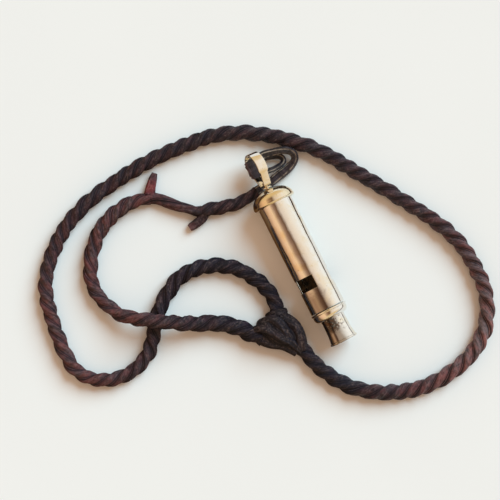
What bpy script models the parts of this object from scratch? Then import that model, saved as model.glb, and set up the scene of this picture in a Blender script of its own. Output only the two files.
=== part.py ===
"""Two-tone training whistle of plated brass on a twisted leather lanyard.

The whistle lies on the ground plane on the rims of its two end caps, with its mouthpiece towards -Y and its
lanyard loop towards +Y. Its own axis is the local Z axis of the empty "whistle_axis". The lanyard lies
beside it on the same ground, threaded through the loop.
"""
import math

import bmesh
import bpy
from mathutils import Matrix, Vector

MM = 0.001
GAP = 0.3 * MM                      # air left between neighbouring solids

# Whistle: radii, and stations measured along the whistle's axis from its middle
BARREL_RADIUS = 7.25 * MM
BARREL_WALL = 0.5 * MM
BARREL_TOP = 22.0 * MM
BARREL_FOOT = -27.3 * MM
RIM_RADIUS = 8.9 * MM
RIM_STATION = 20.6 * MM
RIM_BEAD = 1.0 * MM
DOME_HEIGHT = 5.5 * MM
CAP_WALL = 0.65 * MM
FLANGE_RADIUS = 7.6 * MM
FLANGE_STATION = -28.2 * MM
SHOULDER_HEIGHT = 3.2 * MM
MOUTH_STATION = -42.0 * MM
MOUTH_ROOT_STATION = -29.4 * MM
MOUTH_HALF_WIDTH = 5.3 * MM
MOUTH_FLATNESS = 0.64               # short axis of the oval over its long axis
MOUTH_WALL = 0.5 * MM
WINDOW_TOP = -12.5 * MM
WINDOW_BOTTOM = -17.9 * MM
WINDOW_CHORD = 4.0 * MM             # from the axis to the flat that each window is cut down to
WINDOW_TURN = math.radians(33)      # the window pair is turned this far about the whistle's axis
PLATE_THICKNESS = 0.6 * MM
INNER_RADIUS = BARREL_RADIUS - BARREL_WALL
WINDWAY_FLOOR_RADIUS = 5.6 * MM
WINDWAY_HALF_ANGLE = math.radians(52)
SHORT_CHAMBER_END = 9.0 * MM
LONG_CHAMBER_END = 20.4 * MM

# Lanyard loop on the cap: a flat strip bent round, held by a rivet that lets it swivel
LOOP_STATION = 36.0 * MM
LOOP_RADIUS = 6.0 * MM
LOOP_THICKNESS = 0.8 * MM
LOOP_WIDTH = 4.2 * MM
STRAP_WIDTH = 3.2 * MM
FOOT_STATION = 27.3 * MM
FOOT_HALF_HEIGHT = 2.3 * MM
LOOP_LEAN = math.radians(18)
RIVET_RADIUS = 0.7 * MM
RIVET_HEAD_RADIUS = 1.3 * MM
COLLAR_RADIUS = 1.9 * MM

# Lanyard
NECK_DIAMETER = 5.8 * MM
TAIL_DIAMETER = 6.2 * MM
WHISTLE_CORD_DIAMETER = 5.6 * MM
JOINING_DIAMETER = 4.2 * MM
OUTER_THONG_DIAMETER = 3.2 * MM
INNER_THONG_DIAMETER = 2.4 * MM
THONG_TIP_DIAMETER = 3.4 * MM
STRAP_END_WIDTH = 7.8 * MM
STRAP_END_THICKNESS = 1.2 * MM
KNOT_CENTRE = (-22.0 * MM, -26.9 * MM, 5.3 * MM)
KNOT_HALF_SIZE = (10.8 * MM, 6.8 * MM, 5.2 * MM)
KNOT_TURN = math.radians(-51.6)

# Routes of the cords' centre lines, from point to point in metres
NECK_ROUTE = [
    (-0.0164, -0.0374, 0.0029), (-0.0131, -0.0482, 0.0029), (-0.0059, -0.0591, 0.0029),
    (0.0044, -0.0672, 0.0029), (0.0166, -0.0719, 0.0029), (0.0297, -0.0727, 0.0029),
    (0.0426, -0.0701, 0.0029), (0.0525, -0.0634, 0.0029), (0.0586, -0.0538, 0.0029),
    (0.0611, -0.0433, 0.0029), (0.0600, -0.0287, 0.0029), (0.0549, -0.0149, 0.0029),
    (0.0467, -0.0008, 0.0029), (0.0380, 0.0131, 0.0029), (0.0291, 0.0274, 0.0029),
    (0.0212, 0.0369, 0.0029), (0.0117, 0.0456, 0.0029), (0.0008, 0.0524, 0.0029),
    (-0.0113, 0.0566, 0.0029), (-0.0238, 0.0582, 0.0029), (-0.0371, 0.0585, 0.0029),
    (-0.0521, 0.0575, 0.0029), (-0.0671, 0.0547, 0.0029), (-0.0814, 0.0485, 0.0029),
    (-0.0917, 0.0399, 0.0029), (-0.0979, 0.0303, 0.0029), (-0.1010, 0.0183, 0.0029),
    (-0.1022, 0.0054, 0.0029), (-0.1008, -0.0049, 0.0029), (-0.0934, -0.0126, 0.0029),
    (-0.0824, -0.0148, 0.0029), (-0.0724, -0.0109, 0.0029), (-0.0654, -0.0032, 0.0029),
    (-0.0585, 0.0044, 0.0029), (-0.0473, 0.0107, 0.0029), (-0.0360, 0.0098, 0.0029),
    (-0.0262, 0.0042, 0.0029), (-0.0198, -0.0047, 0.0029), (-0.0176, -0.0128, 0.0029),
    (-0.0184, -0.0182, 0.0029),
]
TAIL_ROUTE = [
    (-0.0440, 0.0446, 0.0031), (-0.0497, 0.0465, 0.0031), (-0.0590, 0.0457, 0.0031),
    (-0.0684, 0.0418, 0.0031), (-0.0754, 0.0346, 0.0031), (-0.0797, 0.0259, 0.0031),
    (-0.0796, 0.0172, 0.0033), (-0.0758, 0.0083, 0.0048), (-0.0701, 0.0029, 0.0080),
    (-0.0636, -0.0013, 0.0098), (-0.0567, -0.0052, 0.0082), (-0.0499, -0.0091, 0.0050),
    (-0.0430, -0.0124, 0.0035), (-0.0374, -0.0164, 0.0034), (-0.0322, -0.0220, 0.0037),
]
WHISTLE_CORD_ROUTE = [
    (-0.0082, 0.0273, 0.0029), (-0.0117, 0.0271, 0.0029), (-0.0156, 0.0275, 0.0029),
    (-0.0200, 0.0287, 0.0029), (-0.0264, 0.0304, 0.0029),
]
OUTER_THONG_ROUTE = [
    (0.0026, 0.0392, 0.0064), (0.0052, 0.0396, 0.0063), (0.0087, 0.0390, 0.0060),
    (0.0122, 0.0381, 0.0057), (0.0150, 0.0367, 0.0050), (0.0163, 0.0347, 0.0040),
    (0.0158, 0.0328, 0.0031), (0.0139, 0.0314, 0.0025), (0.0112, 0.0305, 0.0021),
    (0.0078, 0.0298, 0.0020), (0.0040, 0.0290, 0.0022), (0.0003, 0.0283, 0.0024),
    (-0.0033, 0.0280, 0.0023), (-0.0077, 0.0275, 0.0023),
]
INNER_THONG_ROUTE = [
    (0.0042, 0.0388, 0.0027), (0.0062, 0.0385, 0.0024), (0.0086, 0.0378, 0.0022),
    (0.0107, 0.0367, 0.0022), (0.0116, 0.0354, 0.0023), (0.0113, 0.0341, 0.0028),
    (0.0100, 0.0333, 0.0035), (0.0080, 0.0329, 0.0045), (0.0059, 0.0327, 0.0055),
    (0.0038, 0.0329, 0.0063),
]
JOINING_ROUTE = [
    (-0.0288, 0.0311, 0.0026), (-0.0310, 0.0332, 0.0024), (-0.0335, 0.0354, 0.0022),
    (-0.0361, 0.0379, 0.0022), (-0.0390, 0.0409, 0.0022), (-0.0416, 0.0435, 0.0023),
]
LOWER_TIP_ROUTE = [(-0.0290, 0.0272, 0.0019), (-0.0318, 0.0272, 0.0018), (-0.0348, 0.0269, 0.0018)]
UPPER_TIP_ROUTE = [(-0.0419, 0.0489, 0.0020), (-0.0400, 0.0508, 0.0019), (-0.0380, 0.0529, 0.0019)]

ROUND_STEPS = 48
PLATED = ("plated_brass", (0.80, 0.76, 0.70), 0.16, 1.0)
INSIDE = ("dull_brass", (0.47, 0.40, 0.27), 0.45, 1.0)
LEATHER = ("leather", (0.075, 0.045, 0.040), 0.62, 0.0)
RED_LEATHER = ("red_leather", (0.150, 0.055, 0.045), 0.66, 0.0)


# ------------------------------------------------------------------ scene helpers

def clear_scene():
    for old in list(bpy.data.objects):
        bpy.data.objects.remove(old, do_unlink=True)


def make_collection(name):
    collection = bpy.data.collections.new(name)
    bpy.context.scene.collection.children.link(collection)
    return collection


def make_material(recipe):
    name, colour, roughness, metallic = recipe
    material = bpy.data.materials.get(name)
    if material is None:
        material = bpy.data.materials.new(name)
        material.use_nodes = True
        shader = material.node_tree.nodes["Principled BSDF"]
        shader.inputs["Base Color"].default_value = (*colour, 1.0)
        shader.inputs["Roughness"].default_value = roughness
        shader.inputs["Metallic"].default_value = metallic
    return material


def add_object(name, data, collection, recipe=None, parent=None, turn=0.0):
    """Put mesh or curve data into the model as one named sub-part, turned about its own Z axis."""
    piece = bpy.data.objects.new(name, data)
    collection.objects.link(piece)
    piece.parent = parent
    piece.rotation_euler = (0.0, 0.0, turn)
    if recipe is not None:
        piece.data.materials.append(make_material(recipe))
    return piece


def add_empty(name, collection, location, rotation, parent=None):
    empty = bpy.data.objects.new(name, None)
    empty.empty_display_size = 0.01
    collection.objects.link(empty)
    empty.parent = parent
    empty.location = location
    empty.rotation_euler = rotation
    return empty


def smooth(mesh, angle=math.radians(35)):
    mesh.shade_smooth()
    mesh.set_sharp_from_angle(angle=angle)


def evaluated_mesh(source):
    """The mesh of an object after its modifiers, in the object's own space."""
    bpy.context.view_layer.update()
    graph = bpy.context.evaluated_depsgraph_get()
    mesh = bpy.data.meshes.new_from_object(source.evaluated_get(graph))
    welded = bmesh.new()
    welded.from_mesh(mesh)
    bmesh.ops.remove_doubles(welded, verts=welded.verts, dist=0.00001)
    welded.to_mesh(mesh)
    welded.free()
    return mesh


def cutter(name, mesh, collection, parent, turn=0.0):
    tool = add_object(name, mesh, collection, parent=parent, turn=turn)
    tool.hide_render = True
    tool.display_type = "WIRE"
    return tool


def cut(piece, tool, operation="DIFFERENCE"):
    boolean = piece.modifiers.new(operation.lower(), "BOOLEAN")
    boolean.object = tool
    boolean.operation = operation
    boolean.solver = "EXACT"


# ------------------------------------------------------------------ shape helpers

def arc(centre, radii, start, end, count):
    """Points on an elliptical arc in the (radius, station) plane, angles from the radius direction."""
    points = []
    for index in range(count + 1):
        angle = start + (end - start) * index / count
        points.append((centre[0] + radii[0] * math.cos(angle), centre[1] + radii[1] * math.sin(angle)))
    return points


def turned_mesh(profile, closed=True, steps=ROUND_STEPS):
    """Turn a profile of (radius, station) points round the Z axis."""
    mesh = bpy.data.meshes.new("profile")
    corners = [(radius, 0.0, station) for radius, station in profile]
    count = len(corners)
    edges = [(index, index + 1) for index in range(count - 1)]
    if closed:
        edges.append((count - 1, 0))
    mesh.from_pydata(corners, edges, [])
    source = bpy.data.objects.new("profile", mesh)
    bpy.context.scene.collection.objects.link(source)
    screw = source.modifiers.new("turn", "SCREW")
    screw.steps = steps
    screw.render_steps = steps
    screw.use_merge_vertices = True
    screw.merge_threshold = 0.00001
    turned = evaluated_mesh(source)
    bpy.data.objects.remove(source, do_unlink=True)
    return turned


def box_mesh(low, high):
    mesh = bpy.data.meshes.new("box")
    solid = bmesh.new()
    bmesh.ops.create_cube(solid, size=1.0)
    size = Vector(high) - Vector(low)
    middle = (Vector(high) + Vector(low)) / 2
    solid.transform(Matrix.Translation(middle) @ Matrix.Diagonal((*size, 1.0)))
    solid.to_mesh(mesh)
    solid.free()
    return mesh


def flat_mesh(outlines, low, high):
    """A flat outline, with any holes, given thickness from low to high along Z."""
    curve = bpy.data.curves.new("outline", "CURVE")
    curve.dimensions = "2D"
    curve.fill_mode = "BOTH"
    curve.extrude = (high - low) / 2
    for outline in outlines:
        spline = curve.splines.new("POLY")
        spline.points.add(len(outline) - 1)
        for point, (x, y) in zip(spline.points, outline):
            point.co = (x, y, 0.0, 1.0)
        spline.use_cyclic_u = True
    source = bpy.data.objects.new("outline", curve)
    bpy.context.scene.collection.objects.link(source)
    mesh = evaluated_mesh(source)
    mesh.transform(Matrix.Translation((0.0, 0.0, (high + low) / 2)))
    bpy.data.objects.remove(source, do_unlink=True)
    return mesh


def smooth_route(route, spacing):
    """Points a fixed distance apart on the Catmull-Rom curve through a route."""
    knots = [Vector(point) for point in route]
    knots = [2 * knots[0] - knots[1]] + knots + [2 * knots[-1] - knots[-2]]
    fine = []
    for index in range(1, len(knots) - 2):
        before, start, end, after = knots[index - 1:index + 3]
        for step in range(24):
            t = step / 24
            fine.append(0.5 * (2 * start + (end - before) * t
                               + (2 * before - 5 * start + 4 * end - after) * t ** 2
                               + (3 * start - before - 3 * end + after) * t ** 3))
    fine.append(knots[-2])
    lengths = [0.0]
    for start, end in zip(fine, fine[1:]):
        lengths.append(lengths[-1] + (end - start).length)
    count = max(3, round(lengths[-1] / spacing) + 1)
    points = []
    place = 0
    for index in range(count):
        wanted = lengths[-1] * index / (count - 1)
        while place < len(fine) - 2 and lengths[place + 1] < wanted:
            place += 1
        share = (wanted - lengths[place]) / (lengths[place + 1] - lengths[place])
        points.append(fine[place].lerp(fine[place + 1], min(share, 1.0)))
    return points


def cord(name, route, diameter, collection, recipe=LEATHER, spacing=2.0):
    """A plain round cord along a route, closed at both ends."""
    curve = bpy.data.curves.new(name, "CURVE")
    curve.dimensions = "3D"
    curve.bevel_depth = diameter / 2
    curve.bevel_resolution = 2
    curve.use_fill_caps = True
    spline = curve.splines.new("POLY")
    points = smooth_route(route, spacing * diameter)
    spline.points.add(len(points) - 1)
    for target, place in zip(spline.points, points):
        target.co = (*place, 1.0)
    return add_object(name, curve, collection, recipe)


# ------------------------------------------------------------------ whistle

def dome_station(radius, half_width, height):
    """Station of the cap's elliptical dome at a given radius."""
    return RIM_STATION + height * math.sqrt(1 - (radius / half_width) ** 2)


def make_barrel(model, cutters, axis):
    profile = [(INNER_RADIUS, BARREL_TOP), (BARREL_RADIUS, BARREL_TOP),
               (BARREL_RADIUS, BARREL_FOOT), (INNER_RADIUS, BARREL_FOOT)]
    mesh = turned_mesh(profile)
    barrel = add_object("barrel", mesh, model, PLATED, axis)
    smooth(barrel.data)
    reach = 2 * BARREL_RADIUS
    for side, turn in (("right", WINDOW_TURN), ("left", WINDOW_TURN + math.pi)):
        notch = box_mesh((WINDOW_CHORD, -reach, WINDOW_BOTTOM), (reach, reach, WINDOW_TOP))
        cut(barrel, cutter(f"window_cutter_{side}", notch, cutters, axis, turn))


def make_top_cap(model, axis):
    bore = RIVET_RADIUS + GAP
    skirt = BARREL_RADIUS + GAP
    inner_width = RIM_RADIUS - CAP_WALL
    inner_height = DOME_HEIGHT - CAP_WALL
    start = math.acos(bore / RIM_RADIUS)
    outer = arc((0.0, RIM_STATION), (RIM_RADIUS, DOME_HEIGHT), start, 0.0, 9)
    bead = arc((RIM_RADIUS - RIM_BEAD, RIM_STATION), (RIM_BEAD, RIM_BEAD), 0.0, -math.pi / 2, 4)[1:]
    lip = [(skirt, RIM_STATION - RIM_BEAD)]
    corner = math.acos(skirt / inner_width)
    end = math.acos(bore / inner_width)
    inner = arc((0.0, RIM_STATION), (inner_width, inner_height), corner, end, 5)
    cap = add_object("top_cap", turned_mesh(outer + bead + lip + inner), model, PLATED, axis)
    smooth(cap.data)


def make_collar(model, axis):
    low = RIM_STATION + DOME_HEIGHT + GAP
    high = FOOT_STATION - GAP
    bore = RIVET_RADIUS + GAP
    profile = [(bore, high), (COLLAR_RADIUS * 0.8, high), (COLLAR_RADIUS, (low + high) / 2),
               (COLLAR_RADIUS, low), (bore, low)]
    collar = add_object("cap_collar", turned_mesh(profile, steps=24), model, PLATED, axis)
    smooth(collar.data)


def make_mouth_cap(model, cutters, axis):
    middle = FLANGE_STATION - 0.3 * MM
    outer_width = FLANGE_RADIUS - 0.15 * MM
    wall = 0.55 * MM
    hole = 2.5 * MM
    top = BARREL_FOOT - GAP
    inner_width = outer_width - wall
    ridge = [(inner_width, top), (FLANGE_RADIUS - 0.3 * MM, top), (FLANGE_RADIUS, top - 0.3 * MM),
             (FLANGE_RADIUS, FLANGE_STATION - 0.3 * MM)]
    shoulder = arc((0.0, middle), (outer_width, -SHOULDER_HEIGHT), 0.15, math.acos(hole / outer_width), 7)
    inside = arc((0.0, middle), (inner_width, wall - SHOULDER_HEIGHT), math.acos(hole / inner_width), 0.1, 6)
    cap = add_object("mouth_cap", turned_mesh(ridge + shoulder + inside), model, PLATED, axis)
    smooth(cap.data)
    reach = 6 * MM
    steps = 40
    width = MOUTH_HALF_WIDTH + 0.1 * MM + GAP
    height = MOUTH_HALF_WIDTH * MOUTH_FLATNESS + 0.1 * MM + GAP
    oval = arc((0.0, 0.0), (width, height), 0.0, 2 * math.pi * (steps - 1) / steps, steps - 1)
    hole_mesh = flat_mesh([oval], middle - SHOULDER_HEIGHT - reach, middle)
    cut(cap, cutter("mouth_hole_cutter", hole_mesh, cutters, axis, WINDOW_TURN))


def make_mouthpiece(model, axis):
    """An oval tube that widens a little towards a rolled lip."""
    width = MOUTH_HALF_WIDTH
    end = MOUTH_STATION
    profile = [(width, MOUTH_ROOT_STATION), (width + 0.05 * MM, end + 10 * MM), (width + 0.2 * MM, end + 5 * MM),
               (width + 0.3 * MM, end + 1.4 * MM), (width + 0.5 * MM, end + 0.9 * MM),
               (width + 0.58 * MM, end + 0.45 * MM), (width + 0.45 * MM, end)]
    mesh = turned_mesh(profile, closed=False)
    mesh.transform(Matrix.Diagonal((1.0, MOUTH_FLATNESS, 1.0, 1.0)))
    tube = add_object("mouthpiece", mesh, model, PLATED, axis, WINDOW_TURN)
    smooth(tube.data)
    wall = tube.modifiers.new("wall", "SOLIDIFY")
    wall.thickness = MOUTH_WALL
    wall.offset = -1.0


def half_disc(radius, chord, windway):
    """Outline of a segment that fills one side of the barrel, with the windway's step if it has one."""
    edge = math.acos(chord / radius)
    if not windway:
        return arc((0.0, 0.0), (radius, radius), -edge, edge, 16)
    floor = WINDWAY_FLOOR_RADIUS
    half = WINDWAY_HALF_ANGLE
    outline = arc((0.0, 0.0), (radius, radius), -edge, -half, 4)
    outline += arc((0.0, 0.0), (floor, floor), -half, half, 10)
    return outline + arc((0.0, 0.0), (radius, radius), half, edge, 4)


def make_inner_pieces(model, axis):
    radius = INNER_RADIUS - GAP
    chord = PLATE_THICKNESS / 2 + GAP
    plate_end = LONG_CHAMBER_END + PLATE_THICKNESS
    low = (-PLATE_THICKNESS / 2, -radius, BARREL_FOOT)
    plate = box_mesh(low, (PLATE_THICKNESS / 2, radius, plate_end))
    add_object("divider_plate", plate, model, INSIDE, axis, WINDOW_TURN)
    turns = {"right": WINDOW_TURN, "left": WINDOW_TURN + math.pi}
    for side, turn in turns.items():
        block = flat_mesh([half_disc(radius, chord, True)], BARREL_FOOT, WINDOW_BOTTOM - GAP)
        add_object(f"windway_block_{side}", block, model, INSIDE, axis, turn)
    for name, side, station in (("short_chamber_stop", "right", SHORT_CHAMBER_END),
                                ("long_chamber_stop", "left", LONG_CHAMBER_END)):
        stop = flat_mesh([half_disc(radius, chord, False)], station, station + PLATE_THICKNESS)
        add_object(name, stop, model, INSIDE, axis, turns[side])


# ------------------------------------------------------------------ loop and its rivet

def loop_outline(inset):
    """Side view of the loop's strip, a round eye whose straps run straight to a flat foot."""
    radius = LOOP_RADIUS - inset
    reach = LOOP_STATION - FOOT_STATION
    distance = math.hypot(reach, FOOT_HALF_HEIGHT)
    slope = math.asin(LOOP_RADIUS / distance) - math.atan2(FOOT_HALF_HEIGHT, reach)
    foot = -reach + inset
    foot_half = FOOT_HALF_HEIGHT + inset * math.tan(slope) - inset / math.cos(slope)
    start = math.pi / 2 + slope
    return [(foot, -foot_half), (foot, foot_half)] + arc((0.0, 0.0), (radius, radius), start, -start, 30)


def make_loop(model, cutters, pivot):
    """The strip loop, upright: its eye's centre is the pivot's origin and its straps run down -Z."""
    side = flat_mesh([loop_outline(0.0), loop_outline(LOOP_THICKNESS)], -LOOP_WIDTH / 2, LOOP_WIDTH / 2)
    upright = Matrix(((0, 0, 1, 0), (0, 1, 0, 0), (1, 0, 0, 0), (0, 0, 0, 1)))
    side.transform(upright)
    side.flip_normals()
    band = add_object("loop_band", side, model, PLATED, pivot)
    smooth(band.data)
    wide = LOOP_WIDTH
    narrow = STRAP_WIDTH / 2
    neck = -3.5 * MM
    top = 2 * LOOP_RADIUS
    shoulder = neck + 1.4 * (wide - narrow)
    plan = [(-wide, top), (-wide, shoulder), (-narrow, neck), (-narrow, -top),
            (narrow, -top), (narrow, neck), (wide, shoulder), (wide, top)]
    plan_mesh = flat_mesh([plan], -top, top)
    plan_mesh.transform(Matrix.Rotation(math.pi / 2, 4, "X"))
    cut(band, cutter("plan_cutter", plan_mesh, cutters, pivot), "INTERSECT")
    bore = turned_mesh([(0.0, -top / 2), (RIVET_RADIUS + GAP, -top / 2), (RIVET_RADIUS + GAP, -top),
                        (0.0, -top)], closed=False, steps=24)
    cut(band, cutter("rivet_bore_cutter", bore, cutters, pivot))


def make_rivet(model, pivot):
    """Rivet head inside the loop, shank through the foot, collar and cap, and the upset end inside."""
    foot = FOOT_STATION - LOOP_STATION
    head_low = foot + LOOP_THICKNESS + GAP
    head = arc((0.0, head_low), (RIVET_HEAD_RADIUS, 0.8 * MM), math.pi / 2, 0.0, 4)
    washer_top = dome_station(2.2 * MM, RIM_RADIUS - CAP_WALL, DOME_HEIGHT - CAP_WALL) - LOOP_STATION - GAP
    washer_low = washer_top - 0.5 * MM
    upset_high = washer_low - GAP
    upset_low = upset_high - 0.7 * MM
    shank = [(RIVET_RADIUS, head_low), (RIVET_RADIUS, upset_high), (1.4 * MM, upset_high),
             (1.2 * MM, upset_low), (0.0, upset_low)]
    rivet = add_object("loop_rivet", turned_mesh(head + shank, closed=False, steps=24), model, PLATED, pivot)
    smooth(rivet.data)
    bore = RIVET_RADIUS + GAP
    washer = [(bore, washer_top), (2.0 * MM, washer_top), (2.0 * MM, washer_low), (bore, washer_low)]
    disc = add_object("rivet_washer", turned_mesh(washer, steps=24), model, INSIDE, pivot)
    smooth(disc.data)


# ------------------------------------------------------------------ lanyard

def make_strap_end(model, pivot):
    """The uncut end of the leather strap, lying flat through the lower half of the loop's eye."""
    half = STRAP_END_WIDTH / 2
    left = -3.7 * MM
    right = 2.0 * MM
    teeth = 6
    edge = []
    for index in range(2 * teeth + 1):
        x = left + (0.7 * MM if index % 2 else 0.0)
        edge.append((x, half - 2 * half * index / (2 * teeth)))
    outline = edge + [(right, -half), (right, half)]
    mesh = flat_mesh([outline], -STRAP_END_THICKNESS / 2, STRAP_END_THICKNESS / 2)
    mesh.transform(Matrix.Translation((0.0, 2.2 * MM, 0.0)) @ Matrix.Rotation(math.pi / 2, 4, "X"))
    add_object("strap_end", mesh, model, LEATHER, pivot)


def make_knot(model):
    mesh = bpy.data.meshes.new("knot")
    ball = bmesh.new()
    bmesh.ops.create_uvsphere(ball, u_segments=20, v_segments=12, radius=1.0)
    ball.transform(Matrix.Diagonal((*KNOT_HALF_SIZE, 1.0)))
    ball.to_mesh(mesh)
    ball.free()
    knot = add_object("sliding_knot", mesh, model, LEATHER, turn=KNOT_TURN)
    knot.location = KNOT_CENTRE
    smooth(knot.data)


def make_lanyard(model, pivot):
    make_strap_end(model, pivot)
    cord("outer_thong", OUTER_THONG_ROUTE, OUTER_THONG_DIAMETER, model, spacing=0.9)
    cord("inner_thong", INNER_THONG_ROUTE, INNER_THONG_DIAMETER, model, spacing=0.7)
    cord("whistle_cord", WHISTLE_CORD_ROUTE, WHISTLE_CORD_DIAMETER, model, spacing=0.8)
    cord("joining_thong", JOINING_ROUTE, JOINING_DIAMETER, model, spacing=1.0)
    cord("lower_thong_tip", LOWER_TIP_ROUTE, THONG_TIP_DIAMETER, model, spacing=1.0)
    cord("upper_thong_tip", UPPER_TIP_ROUTE, THONG_TIP_DIAMETER, model, RED_LEATHER, spacing=1.0)
    cord("tail_cord", TAIL_ROUTE, TAIL_DIAMETER, model, spacing=1.5)
    cord("neck_cord", NECK_ROUTE, NECK_DIAMETER, model)
    make_knot(model)


def main():
    clear_scene()
    model = make_collection("training_whistle")
    cutters = make_collection("cutters")
    span = RIM_STATION - FLANGE_STATION
    tilt = math.atan((RIM_RADIUS - FLANGE_RADIUS) / span)
    height = FLANGE_RADIUS * math.cos(tilt) - FLANGE_STATION * math.sin(tilt)
    axis = add_empty("whistle_axis", model, (0.0, 0.0, height), (tilt - math.pi / 2, 0.0, 0.0))
    pivot = add_empty("loop_pivot", model, (0.0, 0.0, LOOP_STATION), (0.0, 0.0, LOOP_LEAN), axis)
    make_barrel(model, cutters, axis)
    make_top_cap(model, axis)
    make_collar(model, axis)
    make_mouth_cap(model, cutters, axis)
    make_mouthpiece(model, axis)
    make_inner_pieces(model, axis)
    make_loop(model, cutters, pivot)
    make_rivet(model, pivot)
    make_lanyard(model, pivot)


main()
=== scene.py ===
import math

import bmesh
import bpy
import numpy as np
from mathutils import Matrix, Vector


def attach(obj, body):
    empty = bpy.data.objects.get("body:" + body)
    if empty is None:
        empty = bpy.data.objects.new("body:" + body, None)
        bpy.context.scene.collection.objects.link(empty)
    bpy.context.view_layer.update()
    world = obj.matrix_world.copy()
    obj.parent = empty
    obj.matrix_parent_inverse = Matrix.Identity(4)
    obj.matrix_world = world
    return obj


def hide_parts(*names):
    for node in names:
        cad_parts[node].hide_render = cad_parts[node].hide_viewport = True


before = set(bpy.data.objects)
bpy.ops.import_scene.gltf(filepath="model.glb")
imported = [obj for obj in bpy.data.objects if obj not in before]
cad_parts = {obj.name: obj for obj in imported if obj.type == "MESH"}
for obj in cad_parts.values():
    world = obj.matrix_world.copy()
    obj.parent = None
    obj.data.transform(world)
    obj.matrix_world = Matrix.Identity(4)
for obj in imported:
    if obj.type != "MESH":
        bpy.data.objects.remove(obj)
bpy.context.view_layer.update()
print("frame loaded")

mm = 0.001


# camera, straight down but for five degrees, with the whistle running to the lower right
viewSettings = {"azimuth": -26.7, "elevation": 85.0, "distance": 0.5556, "target": (-0.01735, 0.00733, 0.0089),
                "lens": 100.0, "sensor": 36.0}


def placeCamera(s):
    azimuth = math.radians(s["azimuth"])
    elevation = math.radians(s["elevation"])
    look = Vector((-math.sin(azimuth) * math.cos(elevation), math.cos(azimuth) * math.cos(elevation),
                   -math.sin(elevation)))
    data = bpy.data.cameras.new("mainCamera")
    data.lens = s["lens"]
    data.sensor_width = s["sensor"]
    data.clip_start = 0.01
    data.clip_end = 20.0
    camera = bpy.data.objects.new("mainCamera", data)
    bpy.context.scene.collection.objects.link(camera)
    camera.location = Vector(s["target"]) - look * s["distance"]
    camera.rotation_euler = look.to_track_quat("-Z", "Y").to_euler()
    bpy.context.scene.camera = camera


placeCamera(viewSettings)
bpy.context.scene.view_settings.view_transform = "Standard"


# numbers from the whistle's design that the pieces share, in metres and radians
whistle = {"barrelRadius": 7.25 * mm, "wall": 0.5 * mm, "barrelTop": 22.0 * mm, "barrelFoot": -27.3 * mm,
           "rimRadius": 8.9 * mm, "rimStation": 20.6 * mm, "domeHeight": 5.5 * mm, "flangeRadius": 7.6 * mm,
           "flangeStation": -28.2 * mm, "windowTop": -12.5 * mm, "windowBottom": -17.9 * mm,
           "windowChord": 4.0 * mm, "windowTurn": math.radians(-33), "mouthEnd": -42.0 * mm,
           "loopStation": 36.0 * mm, "loopRadius": 6.0 * mm, "loopLean": math.radians(18)}
whistle["tilt"] = math.atan((whistle["rimRadius"] - whistle["flangeRadius"])
                            / (whistle["rimStation"] - whistle["flangeStation"]))
whistle["height"] = (whistle["flangeRadius"] * math.cos(whistle["tilt"])
                     - whistle["flangeStation"] * math.sin(whistle["tilt"]))
axisWay = np.array((0.0, math.cos(whistle["tilt"]), math.sin(whistle["tilt"])))
upWay = np.array((0.0, -math.sin(whistle["tilt"]), math.cos(whistle["tilt"])))
rightWay = np.array((1.0, 0.0, 0.0))
axisFoot = np.array((0.0, 0.0, whistle["height"]))
eyeCentre = axisFoot + axisWay * whistle["loopStation"]
eyeRight = math.cos(whistle["loopLean"]) * rightWay - math.sin(whistle["loopLean"]) * upWay
eyeUp = math.sin(whistle["loopLean"]) * rightWay + math.cos(whistle["loopLean"]) * upWay


def onWhistle(right, up, station):
    # point = foot of the axis + right, up and station carried along the whistle's own three ways
    return axisFoot + right[..., None] * rightWay + up[..., None] * upWay + station[..., None] * axisWay


def onEye(right, up, station):
    # the same in the leaned frame of the loop's eye
    return eyeCentre + right[..., None] * eyeRight + up[..., None] * eyeUp + station[..., None] * axisWay


def smoothStep(low, high, value):
    # 3t^2 - 2t^3, with t the place of the value between low and high, held from 0 to 1
    t = np.clip((value - low) / (high - low), 0.0, 1.0)
    return t * t * (3 - 2 * t)


def linear(colour):
    # display colour of 0 to 255 turned into light: ((c + 0.055) / 1.055) ^ 2.4, or c / 12.92 when dark
    c = np.array(colour, float) / 255.0
    return np.where(c > 0.04045, ((c + 0.055) / 1.055) ** 2.4, c / 12.92)


def gridFaces(rows, columns, closedRows=False, closedColumns=True):
    # each face joins a grid point, the next in its column, and the two beside them
    i = np.arange(rows if closedRows else rows - 1)[:, None]
    j = np.arange(columns if closedColumns else columns - 1)[None, :]
    below = (i + 1) % rows
    beside = (j + 1) % columns
    corners = (i * columns + j, i * columns + beside, below * columns + beside, below * columns + j)
    return np.stack([np.broadcast_to(c, (len(i), j.shape[1])) for c in corners], axis=-1).reshape(-1, 4)


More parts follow.
